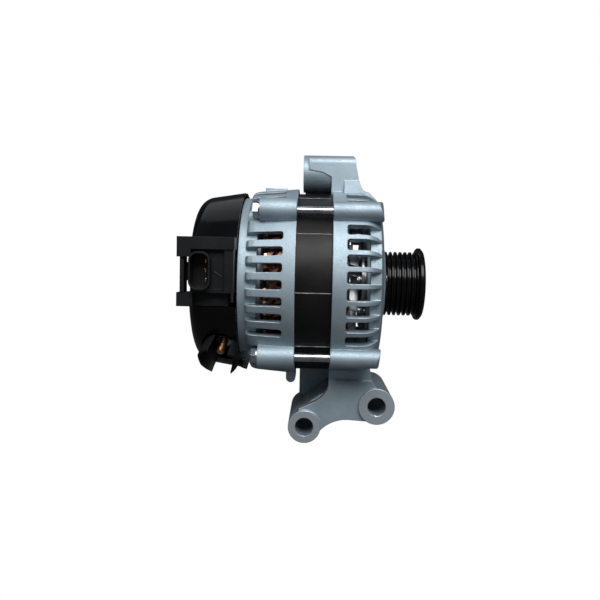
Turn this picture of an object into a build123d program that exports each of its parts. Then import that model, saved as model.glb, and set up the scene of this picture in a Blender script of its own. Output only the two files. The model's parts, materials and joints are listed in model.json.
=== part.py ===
from build123d import *
from math import cos, radians, sin
import os

# Car alternator, hairpin type, about 12 V and 150 A.
# Millimetres. The origin is on the shaft axis, in the belt's centre plane on the pulley.
# +X points out of the drive end along the shaft, +Z points from the foot to the top ear.
# Angles about the shaft start at +Y and turn towards +Z, so the plug side, -Y, is at 180.

NEAR, FAR, TOP, BOTTOM = 180, 0, 90, 270
FIT = 0.1                    # radial room between fixed pieces that slide together

# Driving dimensions
CORE_R = 64.4                # stator core, outside
CORE_BORE_R = 50.0
CORE_REAR, CORE_FRONT = -79.5, -47.0
HOUSING_R = 67.0             # both castings, outside
RIM_FRONT, RIM_REAR = -51.0, -75.3
FRONT_FACE, REAR_SHOULDER = -16.4, -108.0
REAR_WALL = -98.0            # inside face of the rear casting's end wall
NECK_R, NECK_END = 60.5, -113.4
BOLT_CIRCLE_R, BOLT_R = 69.5, 3.0
REAR_BOSS_R, FRONT_BOSS_R = 8.3, 6.6
BOLT_ANGLES = [45, 135, 225, 315]
BOLT_BOSS_REAR, BOLT_BOSS_FRONT = -99.8, -17.4
RETAINER_SCREW_R = 27.5      # circle of the four screws behind the front bearing
SLOT_PITCH = 9.6             # degrees between cooling slots

PULLEY_GROOVES, GROOVE_PITCH = 6, 3.56
PULLEY_CROWN_R, PULLEY_ROOT_R, PULLEY_FLANGE_R = 23.5, 21.0, 26.5
PULLEY_REAR, PULLEY_FRONT = -11.3, 15.8
PULLEY_SEAT = 5.0            # plane that the pulley nut pulls against

SHAFT_R, SHAFT_POLE_R, SHAFT_REAR_R, SHAFT_RING_R = 8.5, 9.5, 7.5, 6.0
FRONT_BEARING = (-28.0, -14.0)
REAR_BEARING = (-111.0, -100.0)
ROTOR_R = 49.5
CLAWS = 8
ROTOR_REAR, ROTOR_FRONT, POLE_THICKNESS = -86.0, -40.0, 12.0
ROTOR_MIDDLE = (ROTOR_REAR + ROTOR_FRONT) / 2
SLIP_RING_R = 8.0
SLIP_RINGS = [(-134.0, -127.0), (-123.0, -116.0)]

COVER_RIM, COVER_REAR = -113.8, -147.0
COVER_RIM_R, COVER_REAR_R, COVER_WALL = 64.5, 59.2, 2.2
POST_R, POST_ANGLES = 44.0, [25, 265, 325]

NEGATIVE_PLATE = (-119.5, -116.5)
POSITIVE_PLATE = (-131.0, -128.0)
PLATE_CENTRE, PLATE_SPAN = 325, 170
DIODE_ANGLES = [250 + 30 * i for i in range(6)]
NEGATIVE_DIODE_R, POSITIVE_DIODE_R, DIODE_R = 42.0, 32.5, 6.2

EAR_Z, EAR_R, EAR_BORE_R = 79.3, 13.5, 5.25
EAR_REAR, EAR_FRONT = -72.3, -34.8
WEB_REAR = -52.0
FOOT_BORE_R, FOOT_BUSH_R = 6.5, 8.0
FOOT_BORES = [(-16.8, -86.3, 12.8), (-67.8, -102.0, 11.6)]     # (x, z, boss radius)
FOOT_BOSS = (-30.0, 40.0)    # from the near face to the far face
FOOT_BUSH = (26.0, 40.0)

STUD_ANGLE, STUD_TILT, STUD_ROOT_X = 226, 10.4, -113.9
STUD_R, STUD_ROOT_R = 3.0, 2.6
STUD_BASE, STUD_NUT, STUD_TIP = 46.5, (51.4, 57.4), 67.5
STUD_FRAME = Pos(STUD_ROOT_X, 0, 0) * Rot(X=STUD_ANGLE - TOP) * Rot(Y=-STUD_TILT)
REGULATOR_SCREWS = [(-33.0, -5.0), (-30.0, 14.0)]     # (y, z)
HOLDER_SCREWS = [(-12.5, 29.0), (12.5, 29.0)]
SOCKET_BARREL = (-135.9, 8.25)                        # (x, z) of the barrel's middle

PIECES = {}


# Shapes that are used again and again

def tube(x_start, x_end, outer, inner=0.0, y=0.0, z=0.0):
    """A bar, or a tube, parallel to the shaft."""
    section = Circle(outer) - Circle(inner) if inner else Circle(outer)
    return Pos(x_start, y, z) * extrude(Plane.YZ * section, x_end - x_start)


def block(x, y, z):
    """A box between three pairs of limits."""
    middle = Pos(sum(x) / 2, sum(y) / 2, sum(z) / 2)
    return middle * Box(abs(x[1] - x[0]), abs(y[1] - y[0]), abs(z[1] - z[0]))


def pin(x, z, y, radius):
    """A round bar parallel to Y, between the two limits in y."""
    middle = Pos(x, sum(y) / 2, z) * Rot(X=90)
    return middle * Cylinder(radius, abs(y[1] - y[0]))


def turned(points, rounds=()):
    """A body of revolution about the shaft from (x, radius) points; rounds are (point, fillet)."""
    face = make_face(Polyline(*points, close=True))
    for point, size in rounds:
        corner = face.vertices().sort_by_distance(Vertex(*point, 0))[0]
        face = fillet(corner, size)
    return revolve(Plane.XZ * face, Axis.X, 360)


def around(shape, angles):
    """Copies of a shape that was drawn towards +Y, turned about the shaft."""
    return [Rot(X=angle) * shape for angle in angles]


def wedge(angle, span, reach=120.0):
    """A flat sector of less than half a turn, in the plane across the shaft."""
    edges = [(0, 0)]
    corner = reach / cos(radians(span / 2))
    for side in (-0.5, 0.5):
        turn = radians(angle + side * span)
        edges.append((corner * cos(turn), corner * sin(turn)))
    return make_face(Polyline(*edges, close=True))


def sector(x, inner, outer, angle, span):
    """A piece of a flat ring across the shaft."""
    section = (Circle(outer) - Circle(inner)) & wedge(angle, span)
    return Pos(x[0], 0, 0) * extrude(Plane.YZ * section, x[1] - x[0])


def radial_slot(x, width, radii, corner=1.8):
    """A slot that is cut towards +Y, with rounded corners."""
    section = RectangleRounded(abs(x[1] - x[0]), width, corner)
    return Pos(sum(x) / 2, radii[0], 0) * Rot(X=-90) * extrude(section, radii[1] - radii[0])


def hexagon(x, across_flats, bore=0.0):
    """A hexagon nut or bolt head on the shaft axis."""
    section = RegularPolygon(across_flats / 2, 6, major_radius=False)
    if bore:
        section -= Circle(bore)
    return Pos(x[0], 0, 0) * extrude(Plane.YZ * section, x[1] - x[0])


def on_circle(shape, radius, angles):
    """Copies of a shape drawn on the shaft axis, set on a circle round it."""
    return around(Pos(0, radius, 0) * shape, angles)


def ring_of(shapes):
    """Several separate solids that make one node."""
    return Compound(children=shapes)


def slots_about(angle, steps):
    return [angle + step * SLOT_PITCH for step in steps]


# Castings

def top_ear():
    """The upper lug: a bored boss over the core, carried by a web that flares down to the casting."""
    flat, ledge, foot_z, top = 14.0, 21.0, 56.0, 90.8
    outline = make_face(
        Polyline((-18.5, foot_z), (WEB_REAR, foot_z), (WEB_REAR, top), (-35.6, top), (-34.6, 84.0), (-32.5, 74.5))
        + ThreePointArc((-32.5, 74.5), (-31.2, 69.8), (-29.4, 66.0))
        + Polyline((-29.4, 66.0), (-25.0, 64.4), (-20.4, 58.8), (-18.5, foot_z))
    )
    web = Pos(0, flat, 0) * extrude(Plane.XZ * outline, 2 * flat)
    arch = Polyline((-68.4, 81.0), (-68.4, top), (-51.0, top), (-51.0, 75.5), (-58.0, 79.0), close=True)
    upper = Pos(0, flat, 0) * extrude(Plane.XZ * make_face(arch), 2 * flat)
    rounded = Pos(0, (40.0 + top) / 2) * RectangleRounded(2 * flat, top - 40.0, 5.0)
    lug = (web + upper) & (Pos(-80.0, 0, 0) * extrude(Plane.YZ * rounded, 80.0))
    lug += tube(EAR_REAR, -36.0, EAR_R, z=EAR_Z)
    side = Polyline((-ledge, foot_z), (-ledge, 63.5), (-flat, 73.8), (flat, 73.8), (ledge, 63.5), (ledge, foot_z),
                    close=True)
    shoulder = Pos(-43.0, 0, 0) * extrude(Plane.YZ * make_face(side), 25.0)
    lug += shoulder & (Pos(0, 30.0, 0) * extrude(Plane.XZ * outline, 60.0))
    rib = block((-71.0, WEB_REAR + 1.0), (5.0, 9.0), (60.0, 72.0))
    return lug + rib


def foot_plate(y):
    """One side plate of the foot, drawn between the two bores."""
    outline = make_face(
        Polyline((-51.0, -50.0), (-51.0, -73.0))
        + ThreePointArc((-51.0, -73.0), (-54.0, -78.8), (-61.8, -84.9))
        + Polyline((-61.8, -84.9), (-72.0, -89.5), (-72.0, -110.0), (-60.5, -110.5))
        + ThreePointArc((-60.5, -110.5), (-51.0, -100.6), (-34.0, -96.9))
        + Polyline((-34.0, -96.9), (-17.0, -97.9), (-10.0, -84.0), (-20.5, -68.0), (-23.5, -50.0),
                   (-51.0, -50.0))
    )
    return Pos(0, y[1], 0) * extrude(Plane.XZ * outline, y[1] - y[0])


def foot():
    """The two-bolt foot: near and far plates, the wall that ties them and two long bored bosses."""
    raised = foot_plate((-27.5, -19.5)) & block((-80.0, 0.0), (-30.0, 0.0), (-120.0, -68.5))
    body = raised + foot_plate((-25.3, -19.5)) + foot_plate((27.0, 34.0))
    tie = Polyline((-72.0, -93.0), (-66.0, -87.0), (-44.0, -72.0), (-25.0, -66.0), (-25.0, -72.5),
                   (-42.0, -78.5), (-60.0, -91.5), (-66.0, -97.0), close=True)
    body += Pos(0, 27.5, 0) * extrude(Plane.XZ * make_face(tie), 47.5)
    body += block((-73.0, -50.0), (27.0, 33.0), (-92.0, -66.5))
    for x, z, radius in FOOT_BORES:
        body += pin(x, z, FOOT_BOSS, radius)
    return body


def front_slot_angles():
    near_and_far = slots_about(NEAR, (-3.5, -2.5, -1.5, -0.5, 0.5, 1.5, 2.5, 3.5))
    near_and_far += slots_about(FAR, (-3.5, -2.5, -1.5, -0.5, 0.5, 1.5, 2.5, 3.5))
    return near_and_far + slots_about(TOP, (-3.5, -2.5, 2.5, 3.5)) + slots_about(BOTTOM, (-3.5, 3.5))


def front_housing():
    hub_r, pocket_r, wall_in = 33.0, 23.5, -20.6
    casting = turned(
        [(RIM_FRONT, 62.5), (RIM_FRONT, HOUSING_R), (FRONT_FACE, HOUSING_R), (FRONT_FACE, 31.0),
         (-12.9, 28.5), (-12.9, 19.0), (FRONT_BEARING[1], 19.0), (FRONT_BEARING[1], pocket_r),
         (FRONT_BEARING[0], pocket_r), (FRONT_BEARING[0], hub_r), (wall_in, hub_r), (wall_in, 56.5),
         (-26.0, 56.5), (-26.0, 62.5)],
        rounds=[((FRONT_FACE, HOUSING_R), 15.0)],
    )
    envelope = turned([(RIM_FRONT, 0), (RIM_FRONT, 80.0), (BOLT_BOSS_FRONT, 80.0), (BOLT_BOSS_FRONT, 0)],
                      rounds=[((BOLT_BOSS_FRONT, 80.0), 12.0)])
    for boss in on_circle(tube(RIM_FRONT, BOLT_BOSS_FRONT, FRONT_BOSS_R), BOLT_CIRCLE_R, BOLT_ANGLES):
        casting += boss & envelope
    casting += top_ear()
    casting += foot()
    casting -= tube(-95.0, CORE_FRONT, CORE_R + FIT)
    casting -= tube(CORE_FRONT, -26.0, 62.5)
    for cut in around(radial_slot((-41.7, -8.0), 8.0, (60.0, 78.0)), front_slot_angles()):
        casting -= cut
    for i in range(12):
        casting -= sector((-22.0, -14.0), 36.0, 53.5, 15 + 30 * i, 22)
    casting -= tube(EAR_REAR - 1, EAR_FRONT + 20, EAR_BORE_R, z=EAR_Z)
    casting -= tube(EAR_FRONT, EAR_FRONT + 20, 8.0, z=EAR_Z)
    for x, z, radius in FOOT_BORES:
        casting -= pin(x, z, (-60.0, 60.0), FOOT_BORE_R)
        casting -= pin(x, z, (FOOT_BUSH[0], FOOT_BUSH[1] + 1), FOOT_BUSH_R)
    for hole in on_circle(tube(RIM_FRONT - 1, FRONT_FACE - 6.0, BOLT_R + FIT), BOLT_CIRCLE_R, BOLT_ANGLES):
        casting -= hole
    for hole in on_circle(tube(-29.0, -21.5, 2.1), RETAINER_SCREW_R, BOLT_ANGLES):
        casting -= hole
    return casting


def rear_housing():
    pocket_r, rim_in, pocket_floor = 18.3, 62.8, REAR_BEARING[0] - 0.2
    step, wall_rim, draft = 64.4, -101.0, 0.8
    casting = turned(
        [(RIM_REAR, rim_in), (RIM_REAR, HOUSING_R + 0.8), (-103.0, 65.6), (REAR_SHOULDER, step),
         (REAR_SHOULDER, NECK_R), (NECK_END, NECK_R), (NECK_END, 56.8), (-105.0, 56.8),
         (-105.0, 24.0), (-113.0, 23.0), (-113.0, 9.0), (pocket_floor, 9.0),
         (pocket_floor, pocket_r), (REAR_WALL, pocket_r), (REAR_WALL - draft, 54.0), (wall_rim, 55.5),
         (wall_rim, rim_in)],
        rounds=[((REAR_SHOULDER, step), 3.0), ((-103.0, 65.6), 8.0)],
    )
    for boss in on_circle(tube(BOLT_BOSS_REAR, RIM_REAR, REAR_BOSS_R), BOLT_CIRCLE_R, BOLT_ANGLES):
        casting += boss
    casting += block((-99.5, -84.0), (-9.0, 9.0), (60.5, 67.8))
    casting += block((-82.3, -75.3), (-9.0, 9.0), (-70.8, -64.7)) + pin(-78.8, -70.8, (-9.0, 9.0), 3.5)
    for post in on_circle(tube(NEGATIVE_PLATE[1], -105.0, 5.0), POST_R, POST_ANGLES):
        casting += post
    for y, z in REGULATOR_SCREWS:
        casting += tube(-117.5, -105.0, 3.6, y=y, z=z)
    for y, z in HOLDER_SCREWS:
        casting += tube(-114.0, -105.0, 3.6, y=y, z=z)
    casting -= tube(CORE_REAR, -60.0, CORE_R + FIT)
    casting -= tube(REAR_WALL, CORE_REAR, rim_in) + tube(wall_rim, REAR_WALL, rim_in, 55.5)
    slots = slots_about(NEAR, range(-3, 4)) + slots_about(FAR, range(-3, 4))
    slots += slots_about(TOP, (-3, -2, 2, 3)) + slots_about(BOTTOM, range(-3, 4))
    for cut in around(radial_slot((REAR_SHOULDER - 5.0, -83.6), 6.1, (NECK_R, 78.0)), slots):
        casting -= cut
    for i in range(12):
        casting -= sector((-107.0, -96.0), 37.5, 53.5, 10 + 30 * i, 20)
    bolt_way = tube(-130.0, -60.0, BOLT_R + FIT) + tube(-130.0, BOLT_BOSS_REAR, 7.4)
    for hole in on_circle(bolt_way, BOLT_CIRCLE_R, BOLT_ANGLES):
        casting -= hole
    for hole in on_circle(tube(-130.0, -101.0, 2.5 + FIT), POST_R, POST_ANGLES):
        casting -= hole
    for y, z in REGULATOR_SCREWS + HOLDER_SCREWS:
        casting -= tube(-130.0, -104.0, 2.1, y=y, z=z)
    return casting


# Stator

def stator_slots(width, radii, x):
    """Forty-eight straight bars, one for each slot of the core."""
    bar = block(x, radii, (-width / 2, width / 2))
    return around(bar, [7.5 * i for i in range(48)])


def stator_core():
    core = tube(CORE_REAR, CORE_FRONT, CORE_R, CORE_BORE_R)
    for cut in stator_slots(3.2, (CORE_BORE_R + 1.4, 60.4), (CORE_REAR - 1, CORE_FRONT + 1)):
        core -= cut
    for mouth in stator_slots(1.4, (CORE_BORE_R - 1, CORE_BORE_R + 2), (CORE_REAR - 1, CORE_FRONT + 1)):
        core -= mouth
    return core


def stator_winding():
    """The end turns as two rings, joined by the bars that lie in the slots."""
    winding = tube(-96.6, -80.6, 60.8, 52.0) + tube(-45.9, -41.5, 60.8, 52.0)
    for bar in stator_slots(2.9, (52.2, 60.2), (-81.0, -45.5)):
        winding += bar
    return winding


def phase_leads():
    """Three wires from the rear end turns, through the air openings, to the terminal frame."""
    return ring_of(around(tube(-122.6, -96.9, 1.0, y=52.2), [70, 100, 340]))


# Rotor

def rotor_shaft():
    shaft = turned([(-135.0, 0), (-135.0, SHAFT_RING_R), (-112.0, SHAFT_RING_R), (-112.0, SHAFT_REAR_R),
                    (-98.0, SHAFT_REAR_R), (-98.0, SHAFT_POLE_R), (-31.0, SHAFT_POLE_R), (-31.0, SHAFT_R),
                    (4.0, SHAFT_R), (4.0, 8.0), (14.0, 8.0), (14.0, 0)])
    socket = Pos(7.0, 0, 0) * extrude(Plane.YZ * RegularPolygon(4.0, 6, major_radius=False), 8.0)
    return shaft - socket


def claw(root, tip):
    """One tapering finger, drawn towards +Y from its disc to its tip."""
    side = 1 if tip > root else -1
    knee, wide, narrow = root + side * POLE_THICKNESS, 9.3, 3.6
    plan = Polyline((root, -wide), (root, wide), (knee, wide), (tip, narrow), (tip, -narrow), (knee, -wide),
                    close=True)
    finger = Rot(X=-90) * extrude(make_face(plan), 60.0)
    inner_root, inner_tip = 34.0, 44.5
    shell = turned([(root, inner_root), (knee, 39.0), (tip, inner_tip),
                    (tip, ROTOR_R), (root + side * 1.5, ROTOR_R), (root, ROTOR_R - 1.5)])
    return finger & shell


def claw_pole(root, tip, first_angle):
    side = 1 if tip > root else -1
    start, end = sorted((root, root + side * POLE_THICKNESS))
    pole = tube(start, end, 38.0)
    start, end = sorted((root + side * POLE_THICKNESS, ROTOR_MIDDLE))
    pole += tube(start, end, 18.0)
    for finger in around(claw(root, tip), [first_angle + i * 360 / CLAWS for i in range(CLAWS)]):
        pole += finger
    return pole - tube(ROTOR_REAR - 1, ROTOR_FRONT + 1, SHAFT_POLE_R)


def coil_bobbin():
    ends = (ROTOR_REAR + POLE_THICKNESS + 0.1, ROTOR_FRONT - POLE_THICKNESS - 0.1)
    spool = tube(ends[0], ends[1], 19.4, 18.1)
    spool += tube(ends[0], ends[0] + 1.2, 37.6, 18.1)
    return spool + tube(ends[1] - 1.2, ends[1], 37.6, 18.1)


def field_coil():
    return tube(ROTOR_REAR + POLE_THICKNESS + 1.3, ROTOR_FRONT - POLE_THICKNESS - 1.3, 36.8, 19.4)


def fan(disc, blades, tips, count, lean):
    """A pressed cooling fan: a flat disc with upright blades."""
    pivot = 38.0
    wheel = tube(disc[0], disc[1], 36.0, SHAFT_POLE_R + 0.1)
    blade = block(blades, (29.0, tips), (-0.7, 0.7)) + block(disc, (30.0, tips), (-5.0, 5.0))
    leaning = Pos(0, pivot, 0) * Rot(X=lean) * Pos(0, -pivot, 0) * blade
    for copy in around(leaning, [360 / count * i for i in range(count)]):
        wheel += copy
    return wheel & tube(-120.0, 0.0, tips)


def bearing_inner(x, bore, outer, groove, pitch):
    return tube(x[0], x[1], outer, bore) - Pos(sum(x) / 2, 0, 0) * Rot(Y=90) * Torus(pitch, groove)


def bearing_outer(x, inner, outer, groove, pitch):
    return tube(x[0], x[1], outer, inner) - Pos(sum(x) / 2, 0, 0) * Rot(Y=90) * Torus(pitch, groove)


def bearing_balls(x, pitch, radius, count):
    ball = Pos(sum(x) / 2, 0, 0) * Sphere(radius)
    return ring_of(on_circle(ball, pitch, [360 / count * i for i in range(count)]))


def bearing_cage(x, pitch, radius, count, room):
    """A ring with a round pocket for each ball."""
    middle = sum(x) / 2
    half_width = radius + 0.8
    cage = tube(middle - half_width, middle + half_width, pitch + room, pitch - room)
    pocket = Pos(middle, pitch, 0) * Rot(X=90) * Cylinder(radius + 0.02, 6.0)
    for cut in around(pocket, [360 / count * i for i in range(count)]):
        cage -= cut
    return cage


def slip_ring(x):
    return tube(x[0], x[1], SLIP_RING_R, 6.7)


def pulley():
    """The belt pulley: six V grooves, a front flange and a recess for its nut."""
    outline = [(PULLEY_REAR, 22.9), (PULLEY_REAR + 0.6, PULLEY_CROWN_R)]
    for i in range(PULLEY_GROOVES):
        centre = (i - (PULLEY_GROOVES - 1) / 2) * GROOVE_PITCH
        outline += [(centre - 1.32, PULLEY_CROWN_R), (centre - 0.5, PULLEY_ROOT_R),
                    (centre + 0.5, PULLEY_ROOT_R), (centre + 1.32, PULLEY_CROWN_R)]
    outline += [(10.9, PULLEY_CROWN_R), (11.6, PULLEY_FLANGE_R - 0.6), (12.4, PULLEY_FLANGE_R),
                (14.2, PULLEY_FLANGE_R), (PULLEY_FRONT, 24.6), (PULLEY_FRONT, 18.5), (PULLEY_SEAT, 17.0),
                (PULLEY_SEAT, SHAFT_R), (PULLEY_REAR, SHAFT_R), (PULLEY_REAR, 13.0), (-5.0, 13.5),
                (-5.0, 18.0), (PULLEY_REAR, 18.5)]
    return turned(outline)


def pulley_nut():
    return hexagon((PULLEY_SEAT + 1.5, 14.8), 22.0, 8.0) + tube(PULLEY_SEAT, PULLEY_SEAT + 1.5, 14.5, 8.6)


# Rear electronics

def negative_heat_sink():
    plate = sector(NEGATIVE_PLATE, 27.0, 50.5, PLATE_CENTRE, PLATE_SPAN)
    for hole in on_circle(tube(-121.0, -115.0, DIODE_R), NEGATIVE_DIODE_R, DIODE_ANGLES):
        plate -= hole
    for hole in on_circle(tube(-121.0, -115.0, 2.9), POST_R, POST_ANGLES):
        plate -= hole
    return plate


def positive_heat_sink():
    plate = sector(POSITIVE_PLATE, 24.0, 50.5, PLATE_CENTRE, PLATE_SPAN)
    for i in range(11):
        plate += sector((-134.5, POSITIVE_PLATE[0]), 46.5, 50.5, 247 + 15.5 * i, 4)
    for hole in on_circle(tube(-132.0, -127.0, DIODE_R), POSITIVE_DIODE_R, DIODE_ANGLES):
        plate -= hole
    post_way = tube(-132.0, -127.0, 2.9) + tube(-136.0, POSITIVE_PLATE[0], 4.2)
    for hole in on_circle(post_way, POST_R, POST_ANGLES):
        plate -= hole
    return plate


def diodes(x, lead, radius):
    """Pressed-in diodes with their single leads."""
    body = tube(x[0], x[1], DIODE_R) + tube(lead[0], lead[1], 0.7)
    return ring_of(on_circle(body, radius, DIODE_ANGLES))


def terminal_frame():
    """The moulded plate that carries the phase conductors between the two heat sinks."""
    frame = sector((-124.6, -122.9), 25.0, 53.6, PLATE_CENTRE, 150)
    for angle in (70, 100):
        frame += sector((-124.6, -122.9), 48.0, 55.5, angle, 8)
    frame += sector((-124.6, -122.9), 50.5, 55.5, 70, 76)
    for radius in (NEGATIVE_DIODE_R, POSITIVE_DIODE_R):
        for hole in on_circle(tube(-126.0, -122.0, 0.9), radius, DIODE_ANGLES):
            frame -= hole
    for hole in on_circle(tube(-126.0, -122.0, 4.1), POST_R, POST_ANGLES):
        frame -= hole
    return frame


def spacers(x):
    return ring_of(on_circle(tube(x[0], x[1], 4.0, 2.7), POST_R, POST_ANGLES))


def b_plus_bar():
    """The link from the positive heat sink to the foot of the output stud."""
    link = sector((POSITIVE_PLATE[1], -125.2), 39.4, 43.6, 235, 26)
    post = STUD_FRAME * Pos(0, 0, 42.0) * Box(9.0, 9.0, 9.0)
    return link + post


def b_plus_stud():
    """The output stud: its thread is drawn at the root radius up to the top of the nut."""
    section = Polyline((0, STUD_BASE), (STUD_ROOT_R, STUD_BASE), (STUD_ROOT_R, STUD_NUT[1]), (STUD_R, STUD_NUT[1]),
                       (STUD_R, STUD_TIP), (0, STUD_TIP), close=True)
    return STUD_FRAME * revolve(Plane.XZ * make_face(section), Axis.Z, 360)


def b_plus_nut():
    section = RegularPolygon(5.0, 6, major_radius=False) - Circle(STUD_ROOT_R + 0.05)
    return STUD_FRAME * Pos(0, 0, STUD_NUT[0]) * extrude(section, STUD_NUT[1] - STUD_NUT[0])


def stud_shroud():
    """A flared collar round the output stud, deeply notched at the front and back, and a clip beside it."""
    base, floor_top, mouth = 45.5, 51.2, 75.5
    cone = Polyline((3.4, 48.6), (3.4, floor_top), (9.6, floor_top), (12.4, mouth), (14.2, mouth), (11.6, base),
                    (9.6, base), (9.6, 48.6), close=True)
    collar = revolve(Plane.XZ * make_face(cone), Axis.Z, 360)
    notch = Polyline((-5.6, 85.0), (-5.0, 70.0), (-3.8, 58.0), (7.0, 58.0), (8.0, 70.0), (8.8, 85.0), close=True)
    collar -= Pos(0, 20, 0) * extrude(Plane.XZ * make_face(notch), 40.0)
    collar -= Pos(-15.0, 0, 77.5) * Rot(Y=-36) * Box(16.0, 40.0, 6.0)
    collar -= Pos(15.0, 0, 74.5) * Rot(Y=36) * Box(20.0, 40.0, 6.0)
    clip = Cylinder(7.0, 7.0) - Cylinder(5.4, 7.0) - Pos(5.0, 0, 0) * Box(10.0, 20.0, 10.0)
    shroud = STUD_FRAME * (Pos(0.7, 0, 0) * collar + Pos(20.0, 0, 68.8) * clip)
    return shroud - tube(-113.7, -60.0, 69.2) - tube(NECK_END - 0.3, -60.0, 61.0)


def voltage_regulator():
    body = block((-136.0, -117.5), (-45.0, -18.5), (-14.0, 27.0))
    for i in range(6):
        body += block((-141.5, -136.0), (-42.0, -20.0), (-11.0 + 6.4 * i, -9.0 + 6.4 * i))
    for y, z in REGULATOR_SCREWS:
        body -= tube(-142.0, -136.0, 4.2, y=y, z=z)
        body -= tube(-142.0, -117.0, 2.1, y=y, z=z)
    return body


def brush_holder():
    body = block((-136.5, -114.5), (-7.0, 7.0), (11.0, 41.0))
    body += block((-118.5, -114.0), (-16.2, 16.2), (24.0, 34.0))
    for ring in SLIP_RINGS:
        middle = sum(ring) / 2
        body -= block((middle - 2.65, middle + 2.65), (-3.65, 3.65), (10.0, 39.5))
    for y, z in HOLDER_SCREWS:
        body -= tube(-120.0, -113.0, 2.1, y=y, z=z)
    return body


def brush(ring):
    middle = sum(ring) / 2
    return block((middle - 2.5, middle + 2.5), (-3.5, 3.5), (SLIP_RING_R + 0.3, 25.0))


def brush_spring(ring):
    """A coil spring between the brush and the roof of its holder."""
    turns, wire, foot_z, roof_z = 5, 0.35, 25.2, 39.3
    height = roof_z - foot_z - 2 * wire
    path = Helix(pitch=height / turns, height=height, radius=2.0)
    section = Plane(origin=path @ 0, z_dir=path % 0) * Circle(wire)
    return Pos(sum(ring) / 2, 0, foot_z + wire) * sweep(section, path, is_frenet=True)


def module_screws(places, head, end):
    """Cheese-head screws parallel to the shaft."""
    screws = []
    for y, z in places:
        screws.append(tube(head, head + 2.6, 3.6, y=y, z=z) + tube(head + 2.6, end, 2.0, y=y, z=z))
    return ring_of(screws)


def plug_socket():
    """The three-pin socket moulding on the near side of the cover, in an open frame."""
    floor, roof = -6.0, 22.0
    body = block((-143.0, -119.0), (-66.0, -45.0), (floor, roof))
    body += block((-151.0, -114.0), (-70.0, -47.0), (roof, 30.0))
    body += block((-151.0, -142.0), (-70.0, -58.0), (17.0, roof))
    body += block((-151.5, -141.0), (-68.0, -52.0), (-15.0, floor))
    body += block((-149.2, -146.5), (-68.5, -58.0), (floor, 17.0))
    body += block((-146.6, -142.5), (-60.0, -56.0), (1.5, 13.5))
    body += block((-120.6, -114.7), (-69.0, -48.0), (floor, roof))
    body += block((-141.0, -119.0), (-60.0, -47.0), (-15.0, floor))
    x, z = SOCKET_BARREL
    body += Pos(x, -62.0, z) * extrude(Plane.XZ * RectangleRounded(13.8, 24.5, 5.6), 12.0)
    return body - Pos(x, -61.0, z) * extrude(Plane.XZ * RectangleRounded(11.4, 22.0, 4.5), 14.0)


def socket_pins():
    """Three flat blades that stand in the socket."""
    pins = []
    for z in (2.4, 8.4, 14.4):
        pins.append(block((-132.6, -131.8), (-70.0, -61.0), (z - 1.1, z + 1.1)))
    return ring_of(pins)


def rear_cover():
    """The moulded cap over the rectifier and regulator."""
    floor_in, rear_r, rim_r = COVER_REAR + COVER_WALL, COVER_REAR_R - COVER_WALL, COVER_RIM_R - COVER_WALL
    shell = turned(
        [(COVER_RIM, COVER_RIM_R), (COVER_REAR, COVER_REAR_R), (COVER_REAR, 0), (floor_in, 0),
         (floor_in, rear_r), (COVER_RIM, rim_r)],
        rounds=[((COVER_REAR, COVER_REAR_R), 12.0), ((floor_in, rear_r), 9.8)],
    )
    for cup in on_circle(tube(COVER_REAR + 1.0, -140.0, 8.0), POST_R, POST_ANGLES):
        shell += cup
    well = tube(COVER_REAR - 1, -142.0, 6.2) + tube(-143.0, -139.0, 2.8)
    for hole in on_circle(well, POST_R, POST_ANGLES):
        shell -= hole
    for i in range(12):
        shell -= sector((COVER_REAR - 1, COVER_REAR + 4), 14.0, 31.0, 30 * i, 12)
    shell -= block((-160.0, -112.0), (-90.0, -40.0), (-15.5, 30.4))
    shell -= STUD_FRAME * Pos(0.7, 0, 65.0) * Cylinder(14.4, 60.0)
    return shell - block((-119.0, -112.0), (-9.0, 1.0), (56.0, 70.0))


def cover_studs():
    return ring_of(on_circle(tube(-146.6, -101.5, 2.5), POST_R, POST_ANGLES))


def cover_nuts():
    return ring_of(on_circle(hexagon((-145.6, -142.0), 8.0, 2.55), POST_R, POST_ANGLES))


# Fasteners and bushes

def through_bolts():
    bolt = tube(BOLT_BOSS_REAR, FRONT_FACE - 7.0, BOLT_R)
    bolt += hexagon((BOLT_BOSS_REAR - 4.6, BOLT_BOSS_REAR), 10.0)
    bolt += tube(BOLT_BOSS_REAR - 1.2, BOLT_BOSS_REAR, 6.6)
    return ring_of(on_circle(bolt, BOLT_CIRCLE_R, BOLT_ANGLES))


def retainer_screws():
    screw = tube(-31.8, -29.6, 3.6) + tube(-29.6, -22.0, 2.0)
    return ring_of(on_circle(screw, RETAINER_SCREW_R, BOLT_ANGLES))


def bearing_retainer():
    plate = tube(-29.6, -28.0, 32.5, 19.5)
    for hole in on_circle(tube(-31.0, -27.0, 2.1), RETAINER_SCREW_R, BOLT_ANGLES):
        plate -= hole
    return plate


def foot_bushes():
    """Steel sleeves pressed into the far ends of the foot's bosses."""
    bushes = []
    for x, z, radius in FOOT_BORES:
        bushes.append(pin(x, z, FOOT_BUSH, FOOT_BUSH_R) - pin(x, z, (0, 60), FOOT_BORE_R))
    return ring_of(bushes)


def seals(x, inner, outer):
    """The two shields of a bearing, just inside its faces."""
    return ring_of([tube(x[0] + 0.2, x[0] + 1.0, outer, inner), tube(x[1] - 1.0, x[1] - 0.2, outer, inner)])


PIECES["front_housing"] = front_housing()
PIECES["rear_housing"] = rear_housing()
PIECES["foot_bushes"] = foot_bushes()
PIECES["through_bolts"] = through_bolts()
PIECES["stator_core"] = stator_core()
PIECES["stator_winding"] = stator_winding()
PIECES["phase_leads"] = phase_leads()

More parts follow.
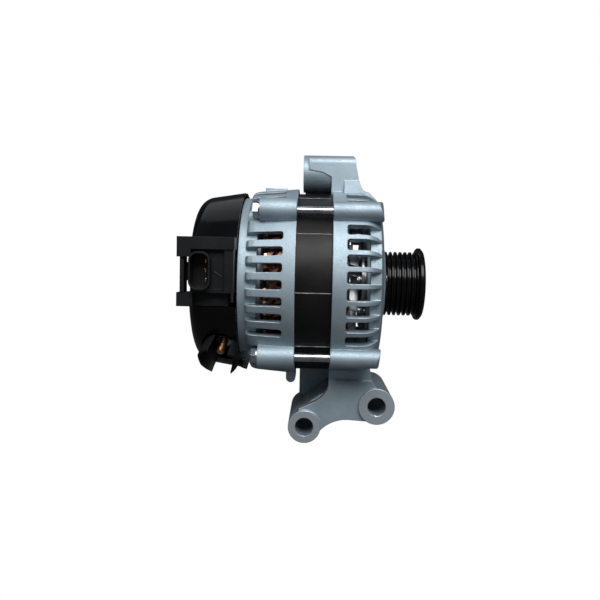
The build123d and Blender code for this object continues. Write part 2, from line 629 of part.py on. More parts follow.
PIECES["front_bearing_outer_race"] = bearing_outer(FRONT_BEARING, 19.2, 23.5, 4.25, 16.0)
PIECES["front_bearing_seals"] = seals(FRONT_BEARING, 13.3, 19.2)
PIECES["bearing_retainer"] = bearing_retainer()
PIECES["retainer_screws"] = retainer_screws()
PIECES["rear_bearing_outer_race"] = bearing_outer(REAR_BEARING, 14.4, 17.5, 3.35, 12.4)
PIECES["rear_bearing_seals"] = seals(REAR_BEARING, 10.5, 14.4)
PIECES["rear_bearing_sleeve"] = tube(REAR_BEARING[0], REAR_BEARING[1], 18.2, 17.5)

PIECES["negative_heat_sink"] = negative_heat_sink()
PIECES["positive_heat_sink"] = positive_heat_sink()
PIECES["negative_diodes"] = diodes((-121.4, -115.4), (-125.6, -121.4), NEGATIVE_DIODE_R)
PIECES["positive_diodes"] = diodes((-131.8, -126.4), (-126.4, -121.8), POSITIVE_DIODE_R)
PIECES["terminal_frame"] = terminal_frame()
PIECES["plate_spacers"] = spacers((POSITIVE_PLATE[1], NEGATIVE_PLATE[0]))
PIECES["cover_spacers"] = spacers((-140.0, POSITIVE_PLATE[0]))
PIECES["b_plus_bar"] = b_plus_bar()
PIECES["b_plus_stud"] = b_plus_stud()
PIECES["b_plus_nut"] = b_plus_nut()
PIECES["stud_shroud"] = stud_shroud()
PIECES["voltage_regulator"] = voltage_regulator()
PIECES["regulator_screws"] = module_screws(REGULATOR_SCREWS, -138.6, -108.0)
PIECES["brush_holder"] = brush_holder()
PIECES["brush_holder_screws"] = module_screws(HOLDER_SCREWS, -121.1, -106.0)
PIECES["plug_socket"] = plug_socket()
PIECES["socket_pins"] = socket_pins()
PIECES["rear_cover"] = rear_cover()
PIECES["cover_studs"] = cover_studs()
PIECES["cover_nuts"] = cover_nuts()

PIECES["rotor_shaft"] = rotor_shaft()
PIECES["front_claw_pole"] = claw_pole(ROTOR_FRONT, ROTOR_REAR + 2.0, 0)
PIECES["rear_claw_pole"] = claw_pole(ROTOR_REAR, ROTOR_FRONT - 2.0, 22.5)
PIECES["coil_bobbin"] = coil_bobbin()
PIECES["field_coil"] = field_coil()
PIECES["front_fan"] = fan((-40.0, -38.6), (-39.0, -33.0), 54.0, 11, 28)
PIECES["rear_fan"] = fan((-87.4, -86.0), (-95.0, -87.0), 47.0, 12, -28)
PIECES["front_bearing_inner_race"] = bearing_inner(FRONT_BEARING, SHAFT_R, 12.9, 4.25, 16.0)
PIECES["rear_bearing_inner_race"] = bearing_inner(REAR_BEARING, SHAFT_REAR_R, 10.2, 3.35, 12.4)
PIECES["rotor_spacer"] = tube(-31.0, FRONT_BEARING[0], 12.4, SHAFT_R)
PIECES["pulley_spacer"] = tube(FRONT_BEARING[1], PULLEY_REAR, 12.4, SHAFT_R)
PIECES["slip_ring_inner"] = slip_ring(SLIP_RINGS[1])
PIECES["slip_ring_outer"] = slip_ring(SLIP_RINGS[0])
PIECES["slip_ring_insulator"] = tube(-134.5, -115.5, 6.7, SHAFT_RING_R)
PIECES["pulley"] = pulley()
PIECES["pulley_nut"] = pulley_nut()

PIECES["front_bearing_balls"] = bearing_balls(FRONT_BEARING, 16.0, 3.95, 8)
PIECES["front_bearing_cage"] = bearing_cage(FRONT_BEARING, 16.0, 3.95, 8, 1.0)
PIECES["rear_bearing_balls"] = bearing_balls(REAR_BEARING, 12.4, 3.0, 8)
PIECES["rear_bearing_cage"] = bearing_cage(REAR_BEARING, 12.4, 3.0, 8, 0.8)
PIECES["inner_brush"] = brush(SLIP_RINGS[1])
PIECES["outer_brush"] = brush(SLIP_RINGS[0])
PIECES["inner_brush_spring"] = brush_spring(SLIP_RINGS[1])
PIECES["outer_brush_spring"] = brush_spring(SLIP_RINGS[0])

os.makedirs("parts", exist_ok=True)
for name, piece in PIECES.items():
    export_step(piece, f"parts/{name}.step")
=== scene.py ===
import json
from math import cos, pi, radians, sin, tau

import bmesh
import bpy
from mathutils import Matrix, Vector


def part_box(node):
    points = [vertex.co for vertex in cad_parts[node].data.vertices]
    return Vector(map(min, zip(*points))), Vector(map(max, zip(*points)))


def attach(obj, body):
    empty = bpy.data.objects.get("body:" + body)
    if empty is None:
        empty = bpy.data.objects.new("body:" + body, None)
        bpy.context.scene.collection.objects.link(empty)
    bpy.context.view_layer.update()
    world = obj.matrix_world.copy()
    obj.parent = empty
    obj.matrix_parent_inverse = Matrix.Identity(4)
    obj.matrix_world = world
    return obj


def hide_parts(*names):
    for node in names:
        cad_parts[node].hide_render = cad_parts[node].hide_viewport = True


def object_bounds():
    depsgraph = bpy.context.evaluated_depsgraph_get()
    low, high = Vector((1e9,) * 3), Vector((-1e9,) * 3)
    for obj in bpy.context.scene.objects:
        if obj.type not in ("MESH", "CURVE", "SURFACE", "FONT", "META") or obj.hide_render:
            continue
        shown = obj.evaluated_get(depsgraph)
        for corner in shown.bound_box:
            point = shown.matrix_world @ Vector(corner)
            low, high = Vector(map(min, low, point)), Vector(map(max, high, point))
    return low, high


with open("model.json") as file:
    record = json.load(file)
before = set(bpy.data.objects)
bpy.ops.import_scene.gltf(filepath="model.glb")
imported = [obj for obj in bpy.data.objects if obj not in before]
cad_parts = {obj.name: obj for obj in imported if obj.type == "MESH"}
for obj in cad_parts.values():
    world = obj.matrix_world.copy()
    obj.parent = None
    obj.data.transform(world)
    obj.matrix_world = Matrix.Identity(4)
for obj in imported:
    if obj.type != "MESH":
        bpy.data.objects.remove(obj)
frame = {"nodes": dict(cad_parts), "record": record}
CAD_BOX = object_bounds()
MM = 0.001
FACED_REACH = 16 * MM          # how far round a bore its faced-off plane runs
FACED_DEPTH = 0.2 * MM         # how near the plane a surface counts as faced
TOOL_RINGS = 9000.0            # turns of the tool marks' phase, in radians for each metre


# Node materials

class Recipe:
    """One node material, built around its Principled shader in object coordinates."""

    def __init__(self, name, **sockets):
        self.material = bpy.data.materials.new(name)
        self.material.use_nodes = True
        self.tree = self.material.node_tree
        self.shader = self.tree.nodes["Principled BSDF"]
        self.place = self.add("ShaderNodeTexCoord").outputs["Object"]
        self.shape = self.add("ShaderNodeNewGeometry").outputs["Normal"]
        self.put(**sockets)

    def feed(self, socket, value):
        if isinstance(value, bpy.types.NodeSocket):
            self.tree.links.new(value, socket)
        else:
            socket.default_value = value

    def add(self, kind, inputs=None, **settings):
        node = self.tree.nodes.new(kind)
        for key, value in settings.items():
            setattr(node, key, value)
        for key, value in (inputs or {}).items():
            self.feed(node.inputs[key], value)
        return node

    def put(self, **sockets):
        """Sets or links the shader's sockets; Base_Color stands for Base Color."""
        for key, value in sockets.items():
            self.feed(self.shader.inputs[key.replace("_", " ")], value)

    def stretched(self, scale):
        return self.add("ShaderNodeMapping", {"Vector": self.place, "Scale": scale}).outputs["Vector"]

    def noise(self, scale, detail=4.0, stretch=None, roughness=0.55):
        place = self.stretched(stretch) if stretch else self.place
        inputs = {"Vector": place, "Scale": scale, "Detail": detail, "Roughness": roughness}
        return self.add("ShaderNodeTexNoise", inputs).outputs["Fac"]

    def cells(self, scale):
        return self.add("ShaderNodeTexVoronoi", {"Vector": self.place, "Scale": scale}).outputs["Distance"]

    def rings(self, scale, distortion=0.0):
        """Bands across the shaft direction."""
        inputs = {"Vector": self.place, "Scale": scale, "Distortion": distortion}
        return self.add("ShaderNodeTexWave", inputs, bands_direction="X").outputs["Fac"]

    def span(self, value, low, high, to_low=0.0, to_high=1.0):
        inputs = {"Value": value, "From Min": low, "From Max": high, "To Min": to_low, "To Max": to_high}
        return self.add("ShaderNodeMapRange", inputs).outputs["Result"]

    def sum(self, a, b, operation="ADD"):
        node = self.add("ShaderNodeMath", operation=operation)
        self.feed(node.inputs[0], a)
        self.feed(node.inputs[1], b)
        return node.outputs[0]

    def mix(self, factor, a, b):
        node = self.add("ShaderNodeMix", data_type="RGBA")
        self.feed(node.inputs["Factor"], factor)
        self.feed(node.inputs[6], (*a, 1.0) if isinstance(a, tuple) else a)
        self.feed(node.inputs[7], (*b, 1.0) if isinstance(b, tuple) else b)
        return node.outputs[2]

    def machined(self, centre):
        """Where a surface square to Y and level with the centre is cut flat, and its fine tool rings."""
        offset = self.add("ShaderNodeVectorMath", {0: self.place, 1: centre}, operation="SUBTRACT")
        apart = self.add("ShaderNodeSeparateXYZ", {"Vector": offset.outputs["Vector"]})
        level = self.add("ShaderNodeMath", {0: apart.outputs["Y"]}, operation="ABSOLUTE").outputs[0]
        across = {"X": apart.outputs["X"], "Z": apart.outputs["Z"]}
        flat = self.add("ShaderNodeCombineXYZ", across).outputs["Vector"]
        away = self.add("ShaderNodeVectorMath", {0: flat}, operation="LENGTH").outputs["Value"]
        near = self.sum(away, FACED_REACH, "LESS_THAN")
        plane = self.sum(self.sum(level, FACED_DEPTH, "LESS_THAN"), near, "MULTIPLY")
        phase = self.sum(away, TOOL_RINGS, "MULTIPLY")
        waves = self.add("ShaderNodeMath", {0: phase}, operation="SINE").outputs[0]
        return plane, self.span(waves, -1.0, 1.0, 0.25, 0.6)

    def soft_edge(self, radius):
        """The normal with its edges rounded off, and how far it leans from the true one."""
        rounded = self.add("ShaderNodeBevel", {"Radius": radius}, samples=6).outputs["Normal"]
        dot = self.add("ShaderNodeVectorMath", operation="DOT_PRODUCT")
        self.feed(dot.inputs[0], rounded)
        self.feed(dot.inputs[1], self.shape)
        return rounded, self.span(dot.outputs["Value"], 1.0, 0.86)

    def relief(self, height, depth, normal=None, strength=1.0):
        inputs = {"Height": height, "Distance": depth, "Strength": strength}
        if normal:
            inputs["Normal"] = normal
        return self.add("ShaderNodeBump", inputs).outputs["Normal"]


def cast_metal(name, dark, light, worn, roughness=(0.5, 0.72), edge=0.8 * MM, faced=()):
    """Bead-blasted die casting: a fine pitted skin, cloudy tone, burnished edges and faced-off planes."""
    r = Recipe(name, Metallic=0.82)
    normal, leaning = r.soft_edge(edge)
    cloud = r.noise(38, 5)
    grain = r.noise(1500, 3)
    tone = r.mix(r.span(cloud, 0.3, 0.7), dark, light)
    speck = r.span(grain, 0.35, 0.62)
    tone = r.mix(r.sum(speck, 0.3, "MULTIPLY"), tone, dark)
    wear = r.sum(leaning, r.span(r.noise(160, 3), 0.35, 0.6), "MULTIPLY")
    finish = r.span(grain, 0.3, 0.7, *roughness)
    for x, y, z in faced:
        plane, rings = r.machined((x, y, z))
        tone = r.mix(plane, tone, r.mix(rings, dark, worn))
        finish = r.sum(finish, r.sum(plane, -0.14, "MULTIPLY"))
    r.put(Base_Color=r.mix(r.sum(wear, 0.75, "MULTIPLY"), tone, worn))
    r.put(Roughness=r.sum(finish, r.sum(wear, -0.16, "MULTIPLY")))
    skin = r.relief(grain, 0.12 * MM, normal, 0.8)
    r.put(Normal=r.relief(r.cells(620), 0.08 * MM, skin, 0.4))
    return r.material


def plated(name, dark, light, roughness, streaks=(60, 900, 900)):
    """Bright metal with the fine lines of its drawing, turning or rolling."""
    r = Recipe(name, Metallic=1.0)
    normal, leaning = r.soft_edge(0.25 * MM)
    lines = r.noise(1.0, 4, streaks)
    cloud = r.noise(90, 4)
    tone = r.mix(r.span(cloud, 0.32, 0.68), dark, light)
    r.put(Base_Color=r.mix(r.sum(leaning, 0.4, "MULTIPLY"), tone, tuple(min(1.0, c * 1.25) for c in light)))
    low, high = roughness
    r.put(Roughness=r.span(r.sum(lines, cloud), 0.7, 1.3, low, high))
    r.put(Normal=r.relief(lines, 0.02 * MM, normal, 0.5))
    return r.material


def moulded(name, dark, light, roughness, texture, shine=0.35):
    """Moulded plastic: an eroded tool texture with rubbed, slightly lighter edges."""
    r = Recipe(name, Metallic=0.0, Specular_IOR_Level=shine)
    normal, leaning = r.soft_edge(0.4 * MM)
    grain = r.noise(1300, 3)
    cloud = r.noise(55, 5)
    tone = r.mix(r.span(cloud, 0.35, 0.7), dark, light)
    r.put(Base_Color=r.mix(r.sum(leaning, 0.35, "MULTIPLY"), tone, tuple(c * 2.4 for c in light)))
    low, high = roughness
    r.put(Roughness=r.span(r.sum(cloud, grain), 0.75, 1.25, low, high))
    r.put(Normal=r.relief(grain, texture, normal, 0.8))
    return r.material


def laminations(name):
    """The stator stack: thin black-coated sheets, edge on, with a few rubbed lines."""
    r = Recipe(name, Metallic=0.0, Specular_IOR_Level=0.3)
    normal, leaning = r.soft_edge(0.2 * MM)
    sheets = r.rings(180 * 5)
    film = r.noise(45, 5)
    rub = r.noise(1.0, 4, (30, 420, 420))
    tone = r.mix(r.span(film, 0.35, 0.7), (0.002, 0.002, 0.002), (0.005, 0.005, 0.006))
    r.put(Base_Color=r.mix(r.span(rub, 0.62, 0.75, 0.0, 0.4), tone, (0.02, 0.02, 0.022)))
    r.put(Roughness=r.span(film, 0.3, 0.7, 0.34, 0.5))
    r.put(Normal=r.relief(sheets, 0.05 * MM, normal, 0.6))
    return r.material


def enamel(name):
    """Copper under dark red varnish, thicker in places."""
    r = Recipe(name, Metallic=0.6, Coat_Weight=0.3, Coat_Roughness=0.15)
    normal, leaning = r.soft_edge(0.3 * MM)
    drip = r.noise(220, 4)
    tone = r.mix(r.span(drip, 0.35, 0.65), (0.05, 0.012, 0.007), (0.20, 0.055, 0.028))
    r.put(Base_Color=r.mix(r.sum(leaning, 0.35, "MULTIPLY"), tone, (0.60, 0.24, 0.13)))
    r.put(Roughness=r.span(drip, 0.3, 0.7, 0.22, 0.42))
    r.put(Normal=r.relief(drip, 0.08 * MM, normal, 0.6))
    return r.material


def wound_wire(name):
    """The field coil: close layers of varnished round wire."""
    r = Recipe(name, Metallic=0.75, Coat_Weight=0.4)
    turns = r.rings(220, 0.4)
    # The tone follows the turns: darker in the grooves between wires and lighter on their crowns, painted
    # shade and highlight across each round wire.
    tone = r.mix(r.span(turns, 0.1, 0.9), (0.10, 0.03, 0.015), (0.52, 0.20, 0.09))
    r.put(Base_Color=r.mix(r.span(r.noise(70, 3), 0.4, 0.8, 0.0, 0.5), tone, (0.25, 0.12, 0.07)))
    r.put(Roughness=r.span(turns, 0.0, 1.0, 0.5, 0.28))
    r.put(Normal=r.relief(turns, 0.5 * MM))
    return r.material


def black_enamel(name):
    """Gloss black electro-coat on the pulley, scuffed on its crests and grooves."""
    r = Recipe(name, Metallic=0.0, Specular_IOR_Level=0.22)
    normal, leaning = r.soft_edge(0.3 * MM)
    orange_peel = r.noise(420, 3)
    scuff = r.noise(1.0, 4, (240, 60, 60))
    tone = r.mix(r.span(orange_peel, 0.3, 0.7), (0.002, 0.002, 0.002), (0.004, 0.004, 0.0045))
    wear = r.sum(leaning, r.span(scuff, 0.45, 0.6), "MULTIPLY")
    r.put(Base_Color=r.mix(r.sum(wear, 0.3, "MULTIPLY"), tone, (0.04, 0.04, 0.042)))
    r.put(Roughness=r.span(scuff, 0.35, 0.7, 0.14, 0.24))
    r.put(Normal=r.relief(orange_peel, 0.03 * MM, normal, 0.5))
    return r.material


def seen_white(tree, lit):
    """Shows plain white to the camera and the given shader to everything that it lights."""
    path = tree.nodes.new("ShaderNodeLightPath")
    white = tree.nodes.new("ShaderNodeEmission" if lit.node.type != "BACKGROUND" else "ShaderNodeBackground")
    white.inputs["Color"].default_value = (1.0, 1.0, 1.0, 1.0)
    white.inputs["Strength"].default_value = 1.0
    choice = tree.nodes.new("ShaderNodeMixShader")
    tree.links.new(path.outputs["Is Camera Ray"], choice.inputs[0])
    tree.links.new(lit, choice.inputs[1])
    tree.links.new(white.outputs[0], choice.inputs[2])
    output = next(node for node in tree.nodes if node.type.startswith("OUTPUT"))
    tree.links.new(choice.outputs[0], output.inputs["Surface"])


def paper(name):
    """The pale studio sweep."""
    r = Recipe(name, Metallic=0.0, Roughness=0.9)
    r.put(Base_Color=r.mix(r.noise(3, 2), (0.09, 0.09, 0.095), (0.11, 0.11, 0.115)))
    seen_white(r.tree, r.shader.outputs[0])
    return r.material


MOUNTS = {mount["name"]: mount for mount in frame["record"]["mounts"]}
NEAR_FACE_Y = MOUNTS["foot_face_near"]["pos_m"][1]
FOOT_FACES = []
for name in ("foot_bore_front", "foot_bore_rear"):
    x, _, z = MOUNTS[name]["pos_m"]
    FOOT_FACES.append((x, NEAR_FACE_Y, z))

MATERIALS = {
    "cast_aluminium": cast_metal("cast_aluminium", (0.315, 0.395, 0.45), (0.45, 0.555, 0.62),
                                 (0.80, 0.87, 0.92), faced=FOOT_FACES),
    "heat_sink_aluminium": plated("heat_sink_aluminium", (0.55, 0.55, 0.56), (0.72, 0.72, 0.73),
                                  (0.3, 0.45)),
    "zinc_steel": plated("zinc_steel", (0.24, 0.26, 0.29), (0.48, 0.51, 0.54), (0.2, 0.36)),
    "bearing_steel": plated("bearing_steel", (0.42, 0.42, 0.43), (0.66, 0.66, 0.67), (0.15, 0.32),
                            (700, 90, 90)),
    "black_lamination": laminations("black_lamination"),
    "pole_steel": cast_metal("pole_steel", (0.16, 0.155, 0.15), (0.30, 0.29, 0.28), (0.5, 0.49, 0.48),
                             (0.35, 0.55)),
    "enamelled_copper": enamel("enamelled_copper"),
    "bare_copper": plated("bare_copper", (0.44, 0.20, 0.10), (0.72, 0.42, 0.24), (0.2, 0.38)),
    "gloss_black_paint": black_enamel("gloss_black_paint"),
    "black_plastic": moulded("black_plastic", (0.0015, 0.0016, 0.002), (0.003, 0.0032, 0.004),
                             (0.12, 0.2), 0.015 * MM, shine=0.22),
    "dark_plastic": moulded("dark_plastic", (0.004, 0.0043, 0.005), (0.008, 0.0085, 0.010),
                            (0.4, 0.56), 0.05 * MM, shine=0.3),
    "seal_rubber": moulded("seal_rubber", (0.03, 0.014, 0.008), (0.06, 0.028, 0.016), (0.5, 0.7),
                           0.04 * MM),
    "carbon": moulded("carbon", (0.02, 0.02, 0.02), (0.05, 0.05, 0.05), (0.4, 0.55), 0.05 * MM),
    "spring_steel": plated("spring_steel", (0.42, 0.43, 0.45), (0.6, 0.61, 0.63), (0.2, 0.35)),
    "fan_steel": plated("fan_steel", (0.24, 0.25, 0.27), (0.40, 0.41, 0.43), (0.26, 0.44), (300, 120, 120)),
}
SLOT_OF = {entry["node"]: entry["material_slot"] for entry in frame["record"]["subparts"]}


def finish_cad_nodes():
    """Gives every CAD node its detailed material."""
    for name, obj in frame["nodes"].items():
        obj.data.materials.clear()
        slot = SLOT_OF[name]
        obj.data.materials.append(wound_wire("field_wire") if name == "field_coil" else MATERIALS[slot])


# Meshes

def new_piece(name, mesh_or_bm, body, slot, replaces=None):
    if isinstance(mesh_or_bm, bmesh.types.BMesh):
        mesh = bpy.data.meshes.new(name)
        bmesh.ops.recalc_face_normals(mesh_or_bm, faces=mesh_or_bm.faces)
        mesh_or_bm.to_mesh(mesh)
        mesh_or_bm.free()
    else:
        mesh = mesh_or_bm
    piece = bpy.data.objects.new(name, mesh)
    bpy.context.collection.objects.link(piece)
    mesh.materials.append(MATERIALS[slot])
    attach(piece, body)
    if replaces:
        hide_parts(replaces)
    return piece


def modify(piece, kind, **settings):
    modifier = piece.modifiers.new(kind.title(), kind)
    for key, value in settings.items():
        setattr(modifier, key, value)


def smooth(piece, angle=35):
    for face in piece.data.polygons:
        face.use_smooth = True
    piece.data.set_sharp_from_angle(angle=radians(angle))


def polar(x, radius, degrees):
    """A point in metres from millimetres along and around the shaft."""
    turn = radians(degrees)
    return Vector((x, radius * cos(turn), radius * sin(turn))) * MM


def sweep_bar(bm, route, width, thickness):
    """A flat wire along (x, radius, angle) stations, its width lying radially."""
    centres = [polar(*station) for station in route]
    loops = []
    for i, centre in enumerate(centres):
        ahead = centres[min(i + 1, len(centres) - 1)] - centres[max(i - 1, 0)]
        outward = Vector((0, centre.y, centre.z)).normalized()
        across = ahead.cross(outward).normalized()
        corners = ((-1, -1), (1, -1), (1, 1), (-1, 1))
        side, rise = across * thickness * MM / 2, outward * width * MM / 2
        loops.append([bm.verts.new(centre + side * a + rise * b) for a, b in corners])
    for here, there in zip(loops, loops[1:]):
        for i in range(4):
            j = (i + 1) % 4
            bm.faces.new((here[i], here[j], there[j], there[i]))
    bm.faces.new(loops[0])
    bm.faces.new(loops[-1][::-1])


# Winding

SLOTS = 48
SLOT_STEP = 360 / SLOTS
HALF_THROW = 1.5 * SLOT_STEP          # half of the three-slot throw of a hairpin
LAYER_R = [53.3, 55.5, 57.7, 59.7]
WIRE_WIDTH, WIRE_THICKNESS = 1.8, 2.5
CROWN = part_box("stator_winding")[1][0] / MM - 0.2
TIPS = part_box("stator_winding")[0][0] / MM


def hairpin(bm, slot_angle, inner, outer):
    """One hairpin: weld tip, slot, crown over the front end, second slot, second tip."""
    first, second = slot_angle, slot_angle + 2 * HALF_THROW
    middle = (inner + outer) / 2
    sweep_bar(bm, [
        (TIPS + 1.0, inner, first - HALF_THROW), (TIPS + 3.6, inner, first - HALF_THROW),
        (TIPS + 5.0, inner, first - HALF_THROW * 0.9), (TIPS + 13.2, inner, first - HALF_THROW * 0.08),
        (TIPS + 15.0, inner, first), (CROWN - 4.9, inner, first),
        (CROWN - 4.1, inner, first + HALF_THROW * 0.1),
        (CROWN - 2.4, inner, first + HALF_THROW * 0.8), (CROWN - 1.7, inner, first + HALF_THROW * 0.95),
        (CROWN - 1.3, middle, first + HALF_THROW), (CROWN - 1.7, outer, second - HALF_THROW * 0.95),
        (CROWN - 2.4, outer, second - HALF_THROW * 0.8), (CROWN - 4.1, outer, second - HALF_THROW * 0.1),
        (CROWN - 4.9, outer, second), (TIPS + 15.0, outer, second),
        (TIPS + 13.2, outer, second + HALF_THROW * 0.08), (TIPS + 5.0, outer, second + HALF_THROW * 0.9),
        (TIPS + 3.6, outer, second + HALF_THROW), (TIPS + 1.0, outer, second + HALF_THROW),
    ], WIRE_WIDTH, WIRE_THICKNESS)


def winding():
    bm = bmesh.new()
    for i in range(SLOTS):
        for inner, outer in (LAYER_R[:2], LAYER_R[2:]):
            hairpin(bm, i * SLOT_STEP, inner, outer)
    piece = new_piece("hairpin_winding", bm, "housing", "enamelled_copper", "stator_winding")
    modify(piece, "BEVEL", width=0.35 * MM, segments=2, limit_method="ANGLE", angle_limit=radians(50))
    smooth(piece, 50)


def weld_tips():
    """Bare fused ends that join two layers at the rear."""
    bm = bmesh.new()
    for i in range(SLOTS):
        for inner, outer in (LAYER_R[:2], LAYER_R[2:]):
            angle = i * SLOT_STEP + HALF_THROW
            middle = (inner + outer) / 2
            route = [(TIPS + rise, middle, angle) for rise in (2.7, 0.8, 0.1)]
            sweep_bar(bm, route, outer - inner + WIRE_WIDTH + 0.3, WIRE_THICKNESS + 0.3)
    piece = new_piece("hairpin_welds", bm, "housing", "bare_copper")
    modify(piece, "BEVEL", width=0.6 * MM, segments=3, limit_method="ANGLE", angle_limit=radians(50))
    smooth(piece, 50)


# Fans

def fan_wheel(name, disc_x, blade_x, count, sweep, tip_r=46.6, hub_r=9.7):
    """A pressed fan: one sheet disc with swept, curved blades folded up from its rim."""
    bm = bmesh.new()
    steps = 14
    rim = []
    for i in range(count * steps):
        share = (i % steps) / steps
        turn = 360 * i / (count * steps)
        reach = 34.0 + (tip_r - 34.0) * max(0.0, sin(pi * share)) ** 0.6 if share < 0.62 else 34.0
        rim.append((turn, reach))
    inner = [bm.verts.new(polar(disc_x, hub_r, turn)) for turn, _ in rim]
    mid = [bm.verts.new(polar(disc_x, 30.0, turn)) for turn, _ in rim]
    outer = [bm.verts.new(polar(disc_x, reach, turn)) for turn, reach in rim]
    for ring_a, ring_b in ((inner, mid), (mid, outer)):
        for i in range(len(rim)):
            j = (i + 1) % len(rim)
            bm.faces.new((ring_a[i], ring_a[j], ring_b[j], ring_b[i]))
    blade_steps = 12
    for blade in range(count):
        start = 360 * blade / count + 4.0
        low, high = [], []
        for k in range(blade_steps + 1):
            share = k / blade_steps
            radius = 28.5 + (tip_r - 28.5) * share
            turn = start + sweep * (share ** 1.6)
            lift = blade_x if share > 0.25 else disc_x + (blade_x - disc_x) * (0.35 + 2.6 * share)
            low.append(bm.verts.new(polar(disc_x, radius, turn)))
            high.append(bm.verts.new(polar(lift, radius, turn + sweep * 0.06)))
        for k in range(blade_steps):
            bm.faces.new((low[k], low[k + 1], high[k + 1], high[k]))
    piece = new_piece(name + "_wheel", bm, "rotor", "fan_steel", name)
    modify(piece, "SOLIDIFY", thickness=1.3 * MM, offset=0.0)
    modify(piece, "BEVEL", width=0.25 * MM, segments=2, limit_method="ANGLE", angle_limit=radians(50))
    smooth(piece, 40)


# Small details

def output_thread():
    """The threaded output stud with a chamfered end."""
    mount = MOUNTS["b_plus_stud"]
    axis = Vector(mount["axis"])
    radius, pitch = mount["dims"]["r_mm"], 1.0
    tip = Vector(mount["pos_m"]) + axis * mount["dims"]["length_mm"] / 2 * MM
    turn = axis.to_track_quat("Z", "Y").to_matrix()
    length, around, rows = 20.8, 40, 21 * 8
    bm = bmesh.new()
    rings = []
    for i in range(rows + 1):
        depth = length * i / rows
        ring = []
        for j in range(around):
            phase = (depth / pitch + j / around) % 1.0
            reach = radius - 0.05 - 0.5 * abs(2 * phase - 1)
            reach = min(reach, radius - 0.9 + depth)
            angle = tau * j / around
            local = Vector((reach * cos(angle), reach * sin(angle), -depth))
            ring.append(bm.verts.new(tip + turn @ local * MM))
        rings.append(ring)
    for a, b in zip(rings, rings[1:]):
        for j in range(around):
            k = (j + 1) % around
            bm.faces.new((a[j], a[k], b[k], b[j]))
    bm.faces.new(rings[0][::-1])
    bm.faces.new(rings[-1])
    piece = new_piece("output_thread", bm, "housing", "bare_copper", "b_plus_stud")
    smooth(piece, 30)


def strip(bm, place, across, along, lift, width, height):
    """A shallow bead with a flattened half-round section, from place along a line."""
    section = []
    for k in range(7):
        angle = pi * k / 6
        section.append(across * cos(angle) * width / 2 + lift * (sin(angle) * height - 0.05 * MM))
    start = [bm.verts.new(place + p) for p in section]
    end = [bm.verts.new(place + along + p) for p in section]
    for k in range(6):
        bm.faces.new((start[k], start[k + 1], end[k + 1], end[k]))
    bm.faces.new((start[6], start[0], end[0], end[6]))
    bm.faces.new(start[::-1])
    bm.faces.new(end)


def core_beads():
    """Ten weld lines along the stator stack, where it shows between the castings."""
    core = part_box("stator_core")
    radius = core[1][2]
    start, end = core[0][0] + 4.6 * MM, core[1][0] - 4.6 * MM
    bm = bmesh.new()
    for i in range(10):
        angle = radians(148.5 + 36 * i)
        lift = Vector((0, cos(angle), sin(angle)))
        across = Vector((0, -sin(angle), cos(angle)))
        place = Vector((start, 0, 0)) + lift * radius
        strip(bm, place, across, Vector((end - start, 0, 0)), lift, 0.7 * MM, 0.22 * MM)
    piece = new_piece("core_weld_beads", bm, "housing", "pole_steel")
    smooth(piece, 60)


def socket_mark():
    """The slanted rib beside the socket barrel and one rail under the frame's roof."""
    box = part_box("plug_socket")
    front = box[0][1] + 8.0 * MM
    bm = bmesh.new()
    lift = Vector((0, -1, 0))
    for x, z, dx, dz, width in ((23.3, 23.1, 6.2, -4.0, 1.0), (24.0, 11.0, 6.0, 0.0, 0.8)):
        place = Vector((box[0][0] + x * MM, front, box[0][2] + z * MM))
        along = Vector((dx, 0, dz)) * MM
        strip(bm, place, along.cross(lift).normalized(), along, lift, width * MM, 0.45 * MM)
    piece = new_piece("socket_ribs", bm, "housing", "dark_plastic")
    smooth(piece, 60)


# Stage, light and camera

def area_light(name, place, aim, size, power, colour):
    lamp = bpy.data.lights.new(name, "AREA")
    lamp.shape = "RECTANGLE"
    lamp.size, lamp.size_y = size
    lamp.energy = power
    lamp.color = colour
    holder = bpy.data.objects.new(name, lamp)
    bpy.context.collection.objects.link(holder)
    holder.location = place
    holder.rotation_euler = (Vector(aim) - Vector(place)).to_track_quat("-Z", "Y").to_euler()


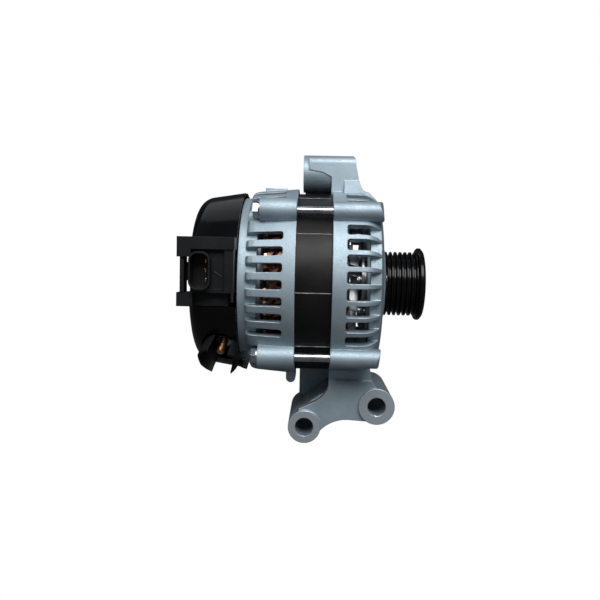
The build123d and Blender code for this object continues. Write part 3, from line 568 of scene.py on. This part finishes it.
def studio():
    """A pale sweep under and behind the part, a soft key from above the camera and a weak fill."""
    low = CAD_BOX[0][2] - 0.02
    bm = bmesh.new()
    curve = [pi / 2 * i / 12 for i in range(13)]
    profile = [(-2.2, 0.0)] + [(1.2 + 0.5 * sin(a), 0.5 - 0.5 * cos(a)) for a in curve] + [(1.7, 3.0)]
    rows = [[bm.verts.new((x, y, low + z)) for x in (-3.5, 3.5)] for y, z in profile]
    for a, b in zip(rows, rows[1:]):
        bm.faces.new((a[0], a[1], b[1], b[0]))
    mesh = bpy.data.meshes.new("sweep")
    bm.to_mesh(mesh)
    bm.free()
    floor = bpy.data.objects.new("sweep", mesh)
    bpy.context.collection.objects.link(floor)
    for face in mesh.polygons:
        face.use_smooth = True
    mesh.materials.append(paper("sweep_paper"))
    world = bpy.context.scene.world or bpy.data.worlds.new("studio")
    bpy.context.scene.world = world
    world.use_nodes = True
    surround = world.node_tree.nodes["Background"]
    surround.inputs["Color"].default_value = (0.86, 0.93, 1.0, 1.0)
    surround.inputs["Strength"].default_value = 0.13
    seen_white(world.node_tree, surround.outputs[0])
    area_light("key", (0.1, -1.02, 1.0), (-0.06, 0, 0.0), (1.1, 0.8), 22.5, (1.0, 0.99, 0.98))
    area_light("top_fill", (-0.5, 0.5, 1.3), (-0.06, 0, 0), (1.0, 1.0), 2.0, (0.93, 0.97, 1.0))


def photo_camera():
    """Square to the shaft from the plug side, a little above it, rolled a degree."""
    lens = bpy.data.cameras.new("camera")
    lens.sensor_width = 36.0
    lens.lens = 38.64
    lens.clip_start = 0.01
    camera = bpy.data.objects.new("camera", lens)
    bpy.context.collection.objects.link(camera)
    middle = (CAD_BOX[0][0] + CAD_BOX[1][0]) / 2
    camera.location = (middle + 6.5 * MM, -0.480, 18.3 * MM)
    gaze = Vector((-0.0248, 1.0, -0.0668)).to_track_quat("-Z", "Y").to_matrix().to_4x4()
    camera.matrix_world = Matrix.Translation(camera.location) @ gaze @ Matrix.Rotation(radians(1.2), 4, "Z")
    bpy.context.scene.camera = camera


bpy.context.scene.view_settings.view_transform = "Standard"
finish_cad_nodes()
winding()
weld_tips()
fan_wheel("front_fan", -39.3, -33.4, 11, 30, tip_r=53.4)
fan_wheel("rear_fan", -86.7, -94.6, 12, -28)
output_thread()
core_beads()
socket_mark()
studio()
photo_camera()
